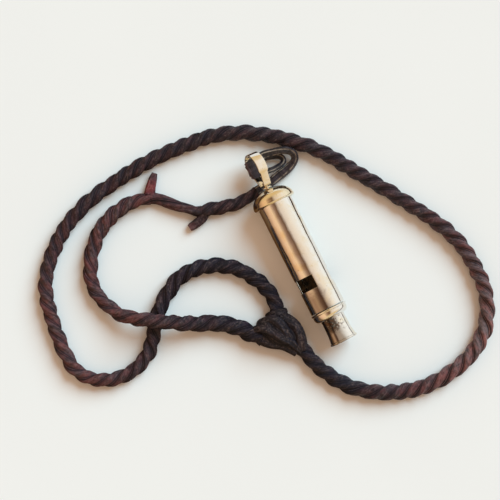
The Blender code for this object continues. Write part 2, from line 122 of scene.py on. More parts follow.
def makePiece(name, points, faces, material, body, replaces=(), caps=(), values=None, sharpAngle=35.0):
    # caps are rings of point numbers that are closed with a fan round their middle
    points = np.asarray(points, float).reshape(-1, 3)
    polygons = [tuple(face) for face in np.asarray(faces).tolist()]
    values = {key: np.asarray(value, float).reshape(len(points), -1) for key, value in (values or {}).items()}
    for ring in caps:
        middle = len(points)
        points = np.vstack([points, points[ring].mean(axis=0)])
        for key in values:
            values[key] = np.vstack([values[key], values[key][ring].mean(axis=0)])
        polygons += [(middle, a, b) for a, b in zip(ring, np.roll(ring, -1))]
    mesh = bpy.data.meshes.new(name)
    mesh.from_pydata(points.tolist(), [], polygons)
    turned = bmesh.new()
    turned.from_mesh(mesh)
    bmesh.ops.recalc_face_normals(turned, faces=turned.faces)
    turned.to_mesh(mesh)
    turned.free()
    for key, value in values.items():
        wide = value.shape[1] > 1
        attribute = mesh.attributes.new(key, "FLOAT_COLOR" if wide else "FLOAT", "POINT")
        if wide:
            value = np.hstack([value, np.ones((len(value), 1))])
        attribute.data.foreach_set("color" if wide else "value", value.astype(np.float32).ravel())
    mesh.shade_smooth()
    mesh.set_sharp_from_angle(angle=math.radians(sharpAngle))
    mesh.materials.append(material)
    piece = bpy.data.objects.new(name, mesh)
    bpy.context.scene.collection.objects.link(piece)
    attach(piece, body)
    if replaces:
        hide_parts(*replaces)
    return piece


class Wire:
    # a socket of a node tree that can be written in sums and products
    def __init__(self, tree, socket=None):
        self.tree = tree
        self.socket = socket

    def node(self, kind, settings=None, inputs=None, output=0):
        made = self.tree.nodes.new("ShaderNode" + kind)
        for key, value in (settings or {}).items():
            if key == "stops":
                while len(made.color_ramp.elements) < len(value):
                    made.color_ramp.elements.new(0.5)
                for element, (place, colour) in zip(made.color_ramp.elements, value):
                    element.position = place
                    element.color = (*colour, 1.0)
            else:
                setattr(made, key, value)
        for key, value in (inputs or {}).items():
            if isinstance(value, Wire):
                self.tree.links.new(value.socket, made.inputs[key])
            else:
                made.inputs[key].default_value = value
        return Wire(self.tree, made.outputs[output])

    def maths(self, operation, *values):
        return self.node("Math", {"operation": operation}, dict(enumerate(values)))

    def __add__(self, other):
        return self.maths("ADD", self, other)

    def __sub__(self, other):
        return self.maths("SUBTRACT", self, other)

    def __rsub__(self, other):
        return self.maths("SUBTRACT", other, self)

    def __mul__(self, other):
        return self.maths("MULTIPLY", self, other)

    def __truediv__(self, other):
        return self.maths("DIVIDE", self, other)

    def __pow__(self, other):
        return self.maths("POWER", self, other)

    def __abs__(self):
        return self.maths("ABSOLUTE", self)

    __radd__ = __add__
    __rmul__ = __mul__

    def between(self, low, high, start=0.0, end=1.0):
        # smooth change from start to end while this value goes from low to high
        return self.node("MapRange", {"interpolation_type": "SMOOTHSTEP"},
                         {0: self, 1: low, 2: high, 3: start, 4: end})

    def mixed(self, first, second, blend="MIX"):
        # colour that goes from first to second as this value goes from 0 to 1
        colours = [(*c, 1.0) if isinstance(c, (tuple, list, np.ndarray)) else c for c in (first, second)]
        return self.node("Mix", {"data_type": "RGBA", "blend_type": blend},
                         {0: self, 6: colours[0], 7: colours[1]}, 2)

    def noise(self, scale, detail=3.0, roughness=0.5, distortion=0.0):
        # soft cloudy pattern on this wire's coordinates
        return self.node("TexNoise", None, {"Vector": self, "Scale": scale, "Detail": detail,
                                            "Roughness": roughness, "Distortion": distortion})


def newMaterial(name):
    material = bpy.data.materials.new(name)
    material.use_nodes = True
    shader = material.node_tree.nodes["Principled BSDF"]
    wire = Wire(material.node_tree)
    place = wire.node("TexCoord", None, None, 3)
    return material, shader, wire, place


def feed(shader, key, value):
    shader.id_data.links.new(value.socket, shader.inputs[key])


# shadowed is a painted shade colour: a brown standing in for the shaded floor and dark cord mirrored on the left of the
# mouthpiece end
platedSettings = {"fresh": (0.87, 0.85, 0.81), "worn": (0.85, 0.75, 0.56), "tarnish": (0.17, 0.11, 0.07), "dents": 2.0,
                  "roughness": 0.055, "scratch": 0.35, "spotScale": 900.0,
                  "shadowed": (0.27, 0.21, 0.17), "grime": (0.022, 0.030, 0.030), "rust": (0.115, 0.062, 0.038)}


def platedFinish(name, s, warmth=0.0, paintedShadeAndGrime=False):
    # nickel plate that shows brass where it is thin, with fine scratches, spots and dull patches;
    # the lower end by the mouthpiece may also get painted shade on its left side, plus grime marks and rust flecks
    material, shader, wire, place = newMaterial(name)
    cloud = place.noise(140.0, 5.0, 0.6, 0.4)
    spots = place.noise(s["spotScale"], 3.0, 0.6)
    turned = wire.node("Mapping", None, {"Vector": place, "Rotation": (0.3, 0.1, 0.5), "Scale": (1.0, 14.0, 3.0)})
    lines = turned.noise(260.0, 4.0, 0.7, 0.2)
    thin = (cloud + warmth).between(0.46, 0.72)
    stain = spots.between(0.62, 0.80) * cloud.between(0.40, 0.62)
    plate = thin.mixed(s["fresh"], s["worn"])
    colour = (stain * 0.65).mixed(plate, s["tarnish"])
    if paintedShadeAndGrime:
        sideways, lengthways = (wire.node("SeparateXYZ", None, {0: place}, k) for k in (0, 1))
        # painted shade: the left side of the lower end is mixed toward the shadowed brown
        lower = (lengthways + (cloud - 0.5) * 0.012).between(-0.0165, -0.0225)
        leftShadeMask = lower * (sideways + (cloud - 0.5) * 0.006).between(0.0030, -0.0012) * sideways.between(-0.0062, -0.0040)
        colour = (leftShadeMask * 0.85).mixed(colour, s["shadowed"])
        # old breath marks between the shoulder and the lip
        root = lengthways.between(-0.0300, -0.0312) * lengthways.between(-0.0388, -0.0350)
        patch = root * sideways.between(0.0012, -0.0004) * sideways.between(-0.0050, -0.0034)
        marks = patch * (cloud * 0.5 + spots * 0.5).between(0.38, 0.47)
        flecks = root * sideways.between(0.0038, 0.0014) * spots.between(0.50, 0.58)
        colour = (flecks * 0.8).mixed((marks * 0.88).mixed(colour, s["grime"]), s["rust"])
        stain = stain + marks * 0.5
    feed(shader, "Base Color", colour)
    shader.inputs["Metallic"].default_value = 1.0
    feed(shader, "Roughness", s["roughness"] + lines.between(0.4, 0.75) * 0.06 + stain * s["scratch"])
    dents = place.noise(95.0, 2.0, 0.5)
    height = lines * 0.05 + spots * 0.06 + cloud * 0.30 + dents * s["dents"]
    feed(shader, "Normal", wire.node("Bump", None, {"Strength": 0.6, "Distance": 0.0003, "Height": height}))
    return material


brassSettings = {"base": (0.13, 0.10, 0.065), "dark": (0.016, 0.018, 0.020), "roughness": 0.45}


def brassFinish(name, s):
    # unpolished brass inside the whistle, dark with tarnish in patches
    material, shader, wire, place = newMaterial(name)
    patches = place.noise(300.0, 5.0, 0.65, 0.5)
    grain = place.noise(2600.0, 2.0, 0.6)
    feed(shader, "Base Color", patches.between(0.35, 0.65).mixed(s["base"], s["dark"]))
    shader.inputs["Metallic"].default_value = 1.0
    feed(shader, "Roughness", s["roughness"] + patches * 0.3)
    feed(shader, "Normal", wire.node("Bump", None, {"Strength": 0.3, "Distance": 0.0001, "Height": grain}))
    return material


# seam is a painted shade colour for the gaps between strands, edgeHighlightColour a painted highlight colour for thong
# edges, wearAndHighlightPale partly wear and partly painted highlight
leatherSettings = {"seamShade": (0.0035, 0.004, 0.008), "seamShadeDepth": 0.97, "edgeHighlightColour": (0.42, 0.33, 0.25),
                   "wearAndHighlightPale": (0.36, 0.25, 0.215), "wearAndHighlight": 0.55, "redder": (1.34, 0.90, 0.88),
                   "greyer": (0.78, 0.95, 1.06), "roughness": 0.40, "gloss": 0.30}


def leatherFinish(name, s):
    # worn leather: dye carried by the piece, with redder and greyer lengths, fibres, pores,
    # pale ridges that are partly rubbed wear and partly painted highlight, and painted shade in the seams
    material, shader, wire, place = newMaterial(name)
    dye = wire.node("Attribute", {"attribute_name": "dye"})
    across = wire.node("Attribute", {"attribute_name": "across"}, None, 2)
    along = wire.node("Attribute", {"attribute_name": "along"}, None, 2)
    strand = wire.node("Attribute", {"attribute_name": "strand"}, None, 2)
    cut = wire.node("Attribute", {"attribute_name": "cut"}, None, 2)
    flow = wire.node("CombineXYZ", None, {"X": across * 1.6, "Y": along * 0.22, "Z": strand * 5.3})
    length = wire.node("CombineXYZ", None, {"X": across * 0.5, "Y": along * 0.16, "Z": strand * 7.7})
    fibres = flow.noise(2.6, 5.0, 0.62, 0.6)
    hue = length.noise(1.0, 3.0, 0.6, 0.3)
    blotch = place.noise(330.0, 4.0, 0.62, 0.4)
    grain = place.noise(1500.0, 4.0, 0.65)
    pores = wire.node("TexVoronoi", None, {"Vector": place, "Scale": 2100.0})
    red = wire.node("VectorMath", {"operation": "MULTIPLY"}, {0: dye, 1: s["redder"]})
    grey = wire.node("VectorMath", {"operation": "MULTIPLY"}, {0: dye, 1: s["greyer"]})
    dyed = (hue * 0.65 + blotch * 0.35).between(0.40, 0.60).mixed(grey, red)
    tone = (fibres * 0.55 + blotch * 0.45).between(0.34, 0.62)
    shadeDark = wire.node("VectorMath", {"operation": "SCALE"}, {0: dyed, "Scale": 0.40})
    shadePale = wire.node("VectorMath", {"operation": "SCALE"}, {0: dyed, "Scale": 1.35})
    body = tone.mixed(shadeDark, shadePale)
    # pale crest of each strand: partly rubbed wear, partly painted highlight standing in for light on the strand tops
    ridge = (1.0 - abs(across)) * (fibres * 0.5 + grain * 0.5).between(0.47, 0.64)
    worn = (ridge * s["wearAndHighlight"]).mixed(body, wire.node("Mix", {"data_type": "RGBA"},
                                                     {0: 0.45, 6: dyed, 7: (*s["wearAndHighlightPale"], 1.0)}, 2))
    # painted shade: the seams between strands are darkened to a bluish near-black where shade falls
    seamShade = (abs(across) ** 2.6 * (0.75 + fibres * 0.5)).between(0.10, 0.90)
    seamShaded = (seamShade * s["seamShadeDepth"]).mixed(worn, s["seamShade"])
    # painted highlight: the pale line along the upper cut edge of the flat thongs
    feed(shader, "Base Color", (cut * fibres.between(0.36, 0.58)).mixed(seamShaded, s["edgeHighlightColour"]))
    feed(shader, "Roughness", s["roughness"] + grain * 0.25 + seamShade * 0.3 - ridge * 0.10)
    shader.inputs["Specular IOR Level"].default_value = s["gloss"]
    height = fibres * 1.0 + grain * 0.35 + pores * 0.25 + blotch * 0.5
    feed(shader, "Normal", wire.node("Bump", None, {"Strength": 0.60, "Distance": 0.0005, "Height": height}))
    return material


platedMetal = platedFinish("platedMetal", platedSettings)
platedWarm = platedFinish("platedWarm", platedSettings, 0.22)
platedPaintedShadeAndGrime = platedFinish("platedPaintedShadeAndGrime", platedSettings, 0.0, True)
dullBrass = brassFinish("dullBrass", brassSettings)
wornLeather = leatherFinish("wornLeather", leatherSettings)
strapLeather = leatherFinish("strapLeather", {**leatherSettings, "roughness": 0.26, "gloss": 0.55, "wearAndHighlight": 0.22,
                                              "redder": (1.10, 0.98, 0.96), "greyer": (0.72, 0.85, 1.05)})
print("finishes made")


def smoothLine(route, step):
    # Catmull-Rom curve through the route's points, read again at even steps of its length
    knots = np.array(route, float)
    knots = np.vstack([2 * knots[0] - knots[1], knots, 2 * knots[-1] - knots[-2]])
    t = np.linspace(0.0, 1.0, 24, endpoint=False)[None, :, None]
    a, b, c, d = (knots[k:len(knots) - 3 + k][:, None, :] for k in range(4))
    curve = 0.5 * (2 * b + (c - a) * t + (2 * a - 5 * b + 4 * c - d) * t ** 2 + (3 * b - a - 3 * c + d) * t ** 3)
    curve = np.vstack([curve.reshape(-1, 3), knots[-2]])
    along = np.concatenate([[0.0], np.cumsum(np.linalg.norm(np.diff(curve, axis=0), axis=1))])
    at = np.linspace(0.0, along[-1], max(4, int(round(along[-1] / step)) + 1))
    return np.stack([np.interp(at, along, curve[:, k]) for k in range(3)], axis=1), at


def levelFrame(line):
    # for each point the way forward, the level way to its right, and the way up square to both
    forward = np.gradient(line, axis=0)
    forward /= np.linalg.norm(forward, axis=1)[:, None]
    side = np.cross(forward, (0.0, 0.0, 1.0))
    side /= np.linalg.norm(side, axis=1)[:, None]
    return forward, side, np.cross(side, forward)


# the few colours that all the leather is dyed with, as display colours
leatherColours = {"knotBlack": (20, 20, 30), "strapBlack": (28, 27, 35), "nearBlack": (25, 25, 38),
                  "darkBrown": (45, 36, 44), "redBrown": (80, 57, 60), "paleBrown": (112, 86, 84),
                  "tornRed": (92, 45, 50)}


def dyeAlong(stops, share):
    # colour between the named stops at each share of the length
    places = [place for place, colour in stops]
    colours = np.array([linear(leatherColours[colour]) for place, colour in stops])
    return np.stack([np.interp(share, places, colours[:, k]) for k in range(3)], axis=-1)


def twistedCord(name, s, material, body, replaces=()):
    # strands laid round a line: at angle x from a strand's middle the surface stands
    # a cos x + sqrt(b^2 - a^2 sin^2 x) from the line, with a the strand's offset and b its radius,
    # and the whole section turns once in each lead of the length
    line, at = smoothLine(s["route"], s["step"])
    forward, side, up = levelFrame(line)
    strands = s["strands"]
    columns = strands * s["perStrand"]
    share = at / at[-1]
    psi = np.arange(columns) * 2 * math.pi / columns
    number = np.floor(psi * strands / (2 * math.pi) + 0.5) % strands
    local = ((psi * strands / (2 * math.pi) + 0.5) % 1.0 - 0.5) * 2.0
    wobble = 0.5 * np.sin(at / (11.0 * mm) + s["seed"]) + 0.35 * np.sin(at / (5.3 * mm) + 2.0 * s["seed"])
    turn = s["hand"] * 2 * math.pi * at / s["lead"] + wobble * s["loose"]
    a = s["offset"]
    # a lapped strand is fuller towards its lower edge, so the section is read a little off its middle
    x = (local - s["lap"] * (1 - local ** 2)) * math.pi / strands
    section = a * np.cos(x) + np.sqrt((1 - a) ** 2 - (a * np.sin(x)) ** 2)
    swell = 1.0 + s["uneven"] * np.sin(at[:, None] / (7.1 * mm) + number[None] * 2.4 + s["seed"])
    swell += 0.6 * s["uneven"] * np.sin(at[:, None] / (2.7 * mm) + number[None] * 4.1 + 3 * s["seed"])
    crease = 0.5 + 0.5 * np.sin(local[None] * 7.5 + number[None] * 1.7 + 2.2 * np.sin(at[:, None] / (6.0 * mm)))
    crease = s["crease"] * crease ** 3 * (1 - local[None] ** 4)
    radius = np.interp(share, *zip(*s["radius"]))[:, None] * (section[None] * swell - crease)
    angle = psi[None] + turn[:, None] + s["phase"]
    offset = radius[..., None] * (np.cos(angle)[..., None] * side[:, None] + np.sin(angle)[..., None] * up[:, None])
    points = line[:, None] + offset
    points[..., 2] = np.maximum(points[..., 2], 0.00002)
    shape = points.shape[:2]
    # across places the painted seam shade at each strand's edges and the pale, partly painted highlight on its crest
    values = {"across": np.broadcast_to(local[None], shape), "along": np.broadcast_to(at[:, None] / mm, shape),
              "strand": np.broadcast_to(number[None] + s["seed"], shape),
              "dye": np.broadcast_to(dyeAlong(s["dye"], share)[:, None], (*shape, 3))}
    rings = [np.arange(columns), np.arange(columns) + (shape[0] - 1) * columns]
    piece = makePiece(name, points, gridFaces(*shape), material, body, replaces, rings, values, 60.0)
    return piece, line, float(at[-1])


neckSettings = {
    "route": [
        (-0.0184, -0.0320, 0.0032), (-0.0164, -0.0374, 0.0029), (-0.0131, -0.0482, 0.0029), (-0.0059, -0.0591, 0.0029),
        (0.0044, -0.0672, 0.0029), (0.0166, -0.0719, 0.0029), (0.0297, -0.0727, 0.0029),
        (0.0426, -0.0701, 0.0029), (0.0525, -0.0634, 0.0029), (0.0586, -0.0538, 0.0029),
        (0.0611, -0.0433, 0.0029), (0.0600, -0.0287, 0.0029), (0.0549, -0.0149, 0.0029),
        (0.0467, -0.0008, 0.0029), (0.0380, 0.0131, 0.0029), (0.0291, 0.0274, 0.0029),
        (0.0212, 0.0369, 0.0029), (0.0117, 0.0456, 0.0029), (0.0008, 0.0524, 0.0029),
        (-0.0113, 0.0566, 0.0029), (-0.0238, 0.0582, 0.0029), (-0.0371, 0.0585, 0.0029),
        (-0.0521, 0.0575, 0.0029), (-0.0671, 0.0547, 0.0029), (-0.0814, 0.0485, 0.0029),
        (-0.0917, 0.0399, 0.0029), (-0.0979, 0.0303, 0.0029), (-0.1010, 0.0183, 0.0029),
        (-0.1022, 0.0054, 0.0029), (-0.1008, -0.0049, 0.0029), (-0.0934, -0.0126, 0.0029),
        (-0.0824, -0.0148, 0.0029), (-0.0724, -0.0109, 0.0029), (-0.0654, -0.0032, 0.0029),
        (-0.0585, 0.0044, 0.0029), (-0.0473, 0.0107, 0.0029), (-0.0360, 0.0098, 0.0029),
        (-0.0262, 0.0042, 0.0029), (-0.0198, -0.0047, 0.0029), (-0.0176, -0.0128, 0.0029),
        (-0.0184, -0.0182, 0.0029), (-0.0205, -0.0235, 0.0036)],
    "step": 0.42 * mm, "strands": 3, "perStrand": 13, "lead": 19.5 * mm, "hand": 1.0, "phase": 0.4, "seed": 1.3,
    "offset": 0.37, "uneven": 0.05, "crease": 0.07, "loose": 0.55, "lap": 0.42,
    "radius": [(0.0, 3.1 * mm), (0.06, 3.35 * mm), (0.17, 3.35 * mm), (0.3, 3.15 * mm), (0.45, 3.3 * mm),
               (0.62, 3.2 * mm), (0.70, 3.15 * mm), (0.78, 2.95 * mm), (0.84, 3.2 * mm), (0.90, 3.35 * mm),
               (1.0, 3.2 * mm)],
    "dye": [(0.0, "nearBlack"), (0.06, "nearBlack"), (0.12, "redBrown"), (0.19, "paleBrown"), (0.26, "redBrown"),
            (0.33, "darkBrown"), (0.62, "darkBrown"), (0.70, "redBrown"), (0.77, "redBrown"), (0.83, "darkBrown"),
            (0.90, "nearBlack"), (1.0, "nearBlack")]}
tailSettings = {
    "route": [
        (-0.0440, 0.0446, 0.0031), (-0.0497, 0.0465, 0.0031), (-0.0590, 0.0457, 0.0031),
        (-0.0684, 0.0418, 0.0031), (-0.0754, 0.0346, 0.0031), (-0.0797, 0.0259, 0.0031),
        (-0.0796, 0.0172, 0.0033), (-0.0758, 0.0083, 0.0048), (-0.0701, 0.0029, 0.0080),
        (-0.0636, -0.0013, 0.0098), (-0.0567, -0.0052, 0.0082), (-0.0499, -0.0091, 0.0050),
        (-0.0430, -0.0124, 0.0035), (-0.0374, -0.0164, 0.0034), (-0.0322, -0.0220, 0.0037),
        (-0.0285, -0.0262, 0.0045)],
    "step": 0.42 * mm, "strands": 3, "perStrand": 13, "lead": 21.0 * mm, "hand": 1.0, "phase": 1.4, "seed": 4.7,
    "offset": 0.35, "uneven": 0.06, "crease": 0.10, "loose": 0.7, "lap": 0.42,
    "radius": [(0.0, 2.4 * mm), (0.06, 3.1 * mm), (0.18, 3.35 * mm), (0.34, 3.1 * mm), (0.5, 2.9 * mm),
               (0.62, 3.1 * mm), (0.70, 3.15 * mm), (0.84, 3.7 * mm), (1.0, 3.6 * mm)],
    "dye": [(0.0, "redBrown"), (0.55, "redBrown"), (0.75, "darkBrown"), (0.92, "nearBlack"), (1.0, "nearBlack")]}
whistleCordSettings = {
    "route": [(-0.0040, 0.0279, 0.0026), (-0.0082, 0.0273, 0.0029), (-0.0117, 0.0271, 0.0029),
              (-0.0156, 0.0275, 0.0029), (-0.0200, 0.0287, 0.0029), (-0.0264, 0.0304, 0.0029),
              (-0.0293, 0.0316, 0.0026)],
    "step": 0.4 * mm, "strands": 3, "perStrand": 13, "lead": 21.0 * mm, "hand": 1.0, "phase": 2.2, "seed": 7.9,
    "offset": 0.38, "uneven": 0.05, "crease": 0.10, "loose": 0.4, "lap": 0.25,
    "radius": [(0.0, 2.3 * mm), (0.25, 2.7 * mm), (0.6, 3.0 * mm), (0.85, 2.9 * mm), (1.0, 2.0 * mm)],
    "dye": [(0.0, "darkBrown"), (1.0, "darkBrown")]}
joiningSettings = {
    "route": [(-0.0272, 0.0307, 0.0028), (-0.0288, 0.0311, 0.0026), (-0.0310, 0.0332, 0.0024),
              (-0.0335, 0.0354, 0.0022), (-0.0361, 0.0379, 0.0022), (-0.0390, 0.0409, 0.0022),
              (-0.0416, 0.0435, 0.0023), (-0.0450, 0.0452, 0.0026)],
    "step": 0.35 * mm, "strands": 2, "perStrand": 16, "lead": 46.0 * mm, "hand": 1.0, "phase": 0.9, "seed": 2.9,
    "offset": 0.22, "uneven": 0.05, "crease": 0.14, "loose": 0.3, "lap": 0.2,
    "radius": [(0.0, 2.5 * mm), (0.3, 2.45 * mm), (0.6, 2.4 * mm), (1.0, 2.4 * mm)],
    "dye": [(0.0, "darkBrown"), (1.0, "redBrown")]}

neckCord, neckLine, neckLength = twistedCord("neckCord", neckSettings, wornLeather, "lanyard", ["neck_cord"])
tailCord, tailLine, tailLength = twistedCord("tailCord", tailSettings, wornLeather, "lanyard", ["tail_cord"])
whistleCord, _, _ = twistedCord("whistleCord", whistleCordSettings, wornLeather, "lanyard",
                                          ["whistle_cord"])
joiningThong, _, _ = twistedCord("joiningThong", joiningSettings, wornLeather, "lanyard",
                                           ["joining_thong"])
print("cords laid:", round(neckLength, 3), round(tailLength, 3))


thongDefaults = {"step": 0.3 * mm, "columns": 30, "square": 3.0, "rough": 0.03, "grooves": 2.0, "edge": 0.5,
                 "cut": 0.0, "edgeHighlightPlace": 0.8, "lean": [(0.0, 0.0), (1.0, 0.0)]}


def flatThong(name, own, material, body, replaces=()):
    # a flat strip along a line: its section is the oval |x/w|^p + |z/t|^p = 1, and it may lean as it goes
    s = {**thongDefaults, **own}
    line, at = smoothLine(s["route"], s["step"])
    forward, side, up = levelFrame(line)
    share = at / at[-1]
    angle = np.arange(s["columns"]) * 2 * math.pi / s["columns"]
    cosine = np.cos(angle)
    sine = np.sin(angle)
    power = 2.0 / s["square"]
    width = np.interp(share, *zip(*s["width"]))[:, None] / 2
    thick = np.interp(share, *zip(*s["thickness"]))[:, None] / 2
    rough = 1 + s["rough"] * np.sin(at[:, None] / (1.9 * mm) + 3 * cosine[None] + s["seed"])
    x = width * np.sign(cosine) * np.abs(cosine) ** power * rough
    folds = 1 - s["groove"] * np.cos(x / width * s["grooves"] * math.pi + np.sin(at[:, None] / (4.0 * mm)))
    z = thick * np.sign(sine) * np.abs(sine) ** power * folds
    lean = np.radians(np.interp(share, *zip(*s["lean"])))[:, None]
    level = x * np.cos(lean) - z * np.sin(lean)
    high = x * np.sin(lean) + z * np.cos(lean)
    points = line[:, None] + level[..., None] * side[:, None] + high[..., None] * up[:, None]
    points[..., 2] = np.maximum(points[..., 2], 0.00002)
    shape = points.shape[:2]
    # painted highlight: a pale line on the upper side of each edge, passed to the finish as cut
    edgeHighlight = np.exp(-((np.abs(cosine) - s["edgeHighlightPlace"]) / 0.11) ** 2) * (sine > 0) * s["cut"]
    # across, scaled by edge, places the painted seam shade at the thong's sides and the pale, partly painted highlight
    # on its middle
    values = {"across": np.broadcast_to(s["edge"] * cosine[None], shape), "cut": np.broadcast_to(edgeHighlight[None], shape),
              "along": np.broadcast_to(at[:, None] / mm, shape), "strand": np.full(shape, s["seed"]),
              "dye": np.broadcast_to(dyeAlong(s["dye"], share)[:, None], (*shape, 3))}
    rings = [np.arange(shape[1]), np.arange(shape[1]) + (shape[0] - 1) * shape[1]]
    piece = makePiece(name, points, gridFaces(*shape), material, body, replaces, rings, values, 50.0)
    return piece, line, float(at[-1])


outerThongSettings = {
    "route": [(0.0004, 0.0386, 0.0066), (0.0026, 0.0392, 0.0064), (0.0052, 0.0396, 0.0063), (0.0087, 0.0390, 0.0060),
              (0.0122, 0.0381, 0.0057), (0.0150, 0.0367, 0.0050), (0.0163, 0.0347, 0.0040),
              (0.0158, 0.0328, 0.0031), (0.0139, 0.0314, 0.0025), (0.0112, 0.0305, 0.0021),
              (0.0078, 0.0298, 0.0020), (0.0040, 0.0290, 0.0022), (0.0003, 0.0283, 0.0024),
              (-0.0033, 0.0280, 0.0023), (-0.0077, 0.0275, 0.0023)],
    "step": 0.3 * mm, "columns": 48, "square": 3.2, "rough": 0.03, "groove": 0.12, "grooves": 3.0, "seed": 3.1,
    "cut": 1.0, "edgeHighlightPlace": 0.52,
    "edge": 0.25, "width": [(0.0, 3.3 * mm), (0.3, 3.0 * mm), (0.45, 3.0 * mm), (0.6, 3.8 * mm), (1.0, 4.0 * mm)],
    "thickness": [(0.0, 1.7 * mm), (0.5, 2.1 * mm), (1.0, 2.6 * mm)],
    "lean": [(0.0, -25.0), (0.3, -40.0), (0.5, -20.0), (0.7, 0.0), (1.0, 0.0)],
    "dye": [(0.0, "strapBlack"), (0.3, "strapBlack"), (0.6, "darkBrown"), (1.0, "nearBlack")]}
innerThongSettings = {
    "route": [(0.0042, 0.0388, 0.0027), (0.0062, 0.0385, 0.0024), (0.0086, 0.0378, 0.0022), (0.0107, 0.0367, 0.0022),
              (0.0116, 0.0354, 0.0023), (0.0113, 0.0341, 0.0028), (0.0100, 0.0333, 0.0035), (0.0080, 0.0329, 0.0045),
              (0.0059, 0.0327, 0.0055), (0.0038, 0.0329, 0.0063), (0.0008, 0.0333, 0.0067)],
    "step": 0.3 * mm, "columns": 30, "square": 3.0, "rough": 0.03, "groove": 0.08, "grooves": 2.0, "seed": 5.2,
    "cut": 1.0, "edgeHighlightPlace": 0.60,
    "edge": 0.25, "width": [(0.0, 2.6 * mm), (1.0, 2.4 * mm)], "thickness": [(0.0, 1.5 * mm), (1.0, 1.5 * mm)],
    "lean": [(0.0, -20.0), (0.5, -45.0), (1.0, -20.0)],
    "dye": [(0.0, "strapBlack"), (1.0, "strapBlack")]}
lowerTipSettings = {
    "route": [(-0.0272, 0.0290, 0.0026), (-0.0290, 0.0279, 0.0021), (-0.0318, 0.0273, 0.0018),
              (-0.0350, 0.0269, 0.0017)],
    "rough": 0.03, "groove": 0.12, "seed": 6.4,
    "width": [(0.0, 4.2 * mm), (0.4, 3.9 * mm), (0.9, 3.3 * mm), (1.0, 2.5 * mm)],
    "thickness": [(0.0, 3.0 * mm), (0.6, 2.6 * mm), (1.0, 2.0 * mm)],
    "dye": [(0.0, "darkBrown"), (0.6, "darkBrown"), (1.0, "redBrown")]}
upperTipSettings = {
    "route": [(-0.0436, 0.0458, 0.0030), (-0.0419, 0.0485, 0.0023), (-0.0400, 0.0508, 0.0020),
              (-0.0377, 0.0533, 0.0019)],
    "rough": 0.04, "groove": 0.16, "seed": 8.8,
    "width": [(0.0, 4.8 * mm), (0.4, 3.9 * mm), (0.8, 3.3 * mm), (1.0, 2.4 * mm)],
    "thickness": [(0.0, 3.0 * mm), (0.6, 2.6 * mm), (1.0, 2.0 * mm)],
    "dye": [(0.0, "tornRed"), (0.5, "tornRed"), (1.0, "redBrown")]}

outerThong, outerLine, outerLength = flatThong("outerThong", outerThongSettings, strapLeather, "lanyard",
                                               ["outer_thong"])
innerThong, _, _ = flatThong("innerThong", innerThongSettings, strapLeather, "lanyard", ["inner_thong"])
lowerTip, _, _ = flatThong("lowerTip", lowerTipSettings, wornLeather, "lanyard", ["lower_thong_tip"])
upperTip, _, _ = flatThong("upperTip", upperTipSettings, wornLeather, "lanyard", ["upper_thong_tip"])
print("thongs laid")


strapEndSettings = {"left": -3.7 * mm, "right": 2.2 * mm, "half": 3.9 * mm, "thickness": 1.2 * mm, "drop": -2.2 * mm,
                    "teeth": 6, "toothDepth": 0.55 * mm, "columns": 160, "rows": 26, "seed": 9.7,
                    "dye": [(0.0, "redBrown"), (0.25, "darkBrown"), (1.0, "strapBlack")],
                    "holes": [(-2.3 * mm, 1.4 * mm), (-2.3 * mm, -1.3 * mm)], "holeRadius": 0.5 * mm}


def strapEndPiece(name, s, material, body, replaces):
    # a flat slab with a rounded edge, carried across the eye, whose far end is cut in small teeth
    angle = np.arange(s["columns"]) * 2 * math.pi / s["columns"]
    y = s["half"] * np.sign(np.cos(angle)) * np.abs(np.cos(angle)) ** 0.25
    z = s["thickness"] / 2 * np.sign(np.sin(angle)) * np.abs(np.sin(angle)) ** 0.45
    saw = np.abs((y / s["half"] * s["teeth"] / 2) % 1.0 - 0.5) * 2
    edge = s["left"] + s["toothDepth"] * saw + 0.9 * mm * (y / s["half"]) ** 4
    t = np.linspace(0.0, 1.0, s["rows"])[:, None]
    x = edge[None] + (s["right"] - edge[None]) * t
    yy = np.broadcast_to(y[None], x.shape)
    pinch = 1 - 0.35 * np.exp(-((t / 0.06) ** 2))
    zz = z[None] * pinch
    for hole in s["holes"]:
        away = np.hypot(x - hole[0], yy - hole[1])
        zz = zz - 0.5 * mm * (z[None] > 0) * (1 - smoothStep(0.6 * s["holeRadius"], s["holeRadius"], away))
    zz = zz + 0.05 * mm * np.sin(x / (0.9 * mm) + 2 * np.sin(yy / (1.3 * mm)))
    points = onEye(x, s["drop"] + zz, yy)
    shape = x.shape
    # across darkens the strap end's long sides with painted seam shade
    values = {"across": 0.75 * np.abs(yy / s["half"]) ** 8, "along": np.broadcast_to(yy / mm, shape),
              "strand": np.full(shape, s["seed"]),
              "dye": np.broadcast_to(dyeAlong(s["dye"], t[:, 0])[:, None], (*shape, 3))}
    half = s["columns"] // 2
    faces = gridFaces(*shape)
    strip = np.arange(half)
    back = (s["columns"] - strip) % s["columns"]
    backNext = s["columns"] - strip - 1
    for start in (0, (shape[0] - 1) * s["columns"]):
        lid = np.stack([strip, strip + 1, backNext, back], axis=-1)[1:-1] + start
        ends = np.array([[1, 1, s["columns"] - 1, 0], [half - 1, half, half, half + 1]]) + start
        faces = np.vstack([faces, lid])
        faces = np.vstack([faces, ends])
    return makePiece(name, points, faces, material, body, replaces, (), values, 50.0)


strapEnd = strapEndPiece("strapEnd", strapEndSettings, strapLeather, "lanyard", ["strap_end"])
print("strap end made")


